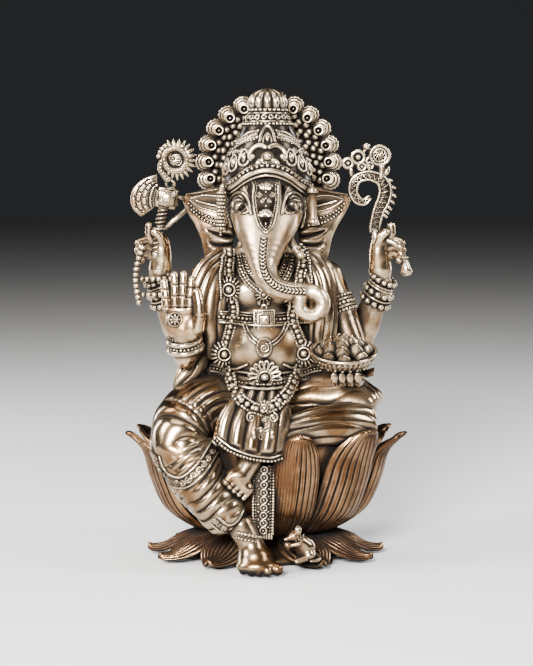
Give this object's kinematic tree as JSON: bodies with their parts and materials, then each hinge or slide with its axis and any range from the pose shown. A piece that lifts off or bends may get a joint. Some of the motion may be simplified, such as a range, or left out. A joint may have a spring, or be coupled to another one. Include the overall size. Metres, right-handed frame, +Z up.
{
  "type": "hindu deity statue",
  "caption": "Antique-finished brass statuette of a seated, four-armed, elephant-headed deity on an oval open lotus, with a tall crown, scalloped halo, hand attributes and a mouse.",
  "frame": {"origin": "middle of the flat underside of the base plate", "axes": "+Z up, -Y the way the figure faces, +X the figure's own left"},
  "size_m": [0.0906, 0.0744, 0.15],
  "materials": {
    "figure_brass": "hand-polished pale brass with near-black patina left in the folds and recesses",
    "lotus_brass": "warmer bronze-brown antiqued brass, polished on the petals' crests and lips, black in the grooves",
    "ornament_brass": "bright polished beads and filigree over black patina"
  },
  "bodies": {
    "root": {"apron": "figure_brass", "axe": "ornament_brass", "base_plate": "lotus_brass", "blessing_hand": "figure_brass", "bowl_hand": "figure_brass", "crown": "ornament_brass", "crown_finial": "ornament_brass", "drooping_petal_1": "lotus_brass", "drooping_petal_10": "lotus_brass", "drooping_petal_2": "lotus_brass", "drooping_petal_3": "lotus_brass", "drooping_petal_4": "lotus_brass", "drooping_petal_5": "lotus_brass", "drooping_petal_6": "lotus_brass", "drooping_petal_7": "lotus_brass", "drooping_petal_8": "lotus_brass", "drooping_petal_9": "lotus_brass", "front_left_arm": "figure_brass", "front_right_arm": "figure_brass", "garland": "ornament_brass", "goad": "ornament_brass", "halo": "ornament_brass", "head": "figure_brass", "left_bangles": "ornament_brass", "left_ear": "figure_brass", "left_foot": "figure_brass", "left_shawl": "figure_brass", "left_shin": "figure_brass", "left_thigh": "figure_brass", "left_tusk": "figure_brass", "lotus_bowl": "lotus_brass", "medallion": "ornament_brass", "mouse": "figure_brass", "prayer_beads": "ornament_brass", "rear_left_arm": "figure_brass", "rear_left_hand": "figure_brass", "rear_right_arm": "figure_brass", "rear_right_hand": "figure_brass", "right_bangles": "ornament_brass", "right_ear": "figure_brass", "right_foot": "figure_brass", "right_shawl": "figure_brass", "right_shin": "figure_brass", "right_thigh": "figure_brass", "right_tusk": "figure_brass", "sash": "ornament_brass", "staff_flower": "ornament_brass", "sweet_bowl": "ornament_brass", "sweets": "ornament_brass", "torso": "figure_brass", "trunk": "figure_brass", "upright_petal_1": "lotus_brass", "upright_petal_2": "lotus_brass", "upright_petal_3": "lotus_brass", "upright_petal_4": "lotus_brass", "upright_petal_5": "lotus_brass", "upright_petal_6": "lotus_brass", "upright_petal_7": "lotus_brass", "upright_petal_8": "lotus_brass", "upright_petal_9": "lotus_brass"}
  },
  "joints": []
}
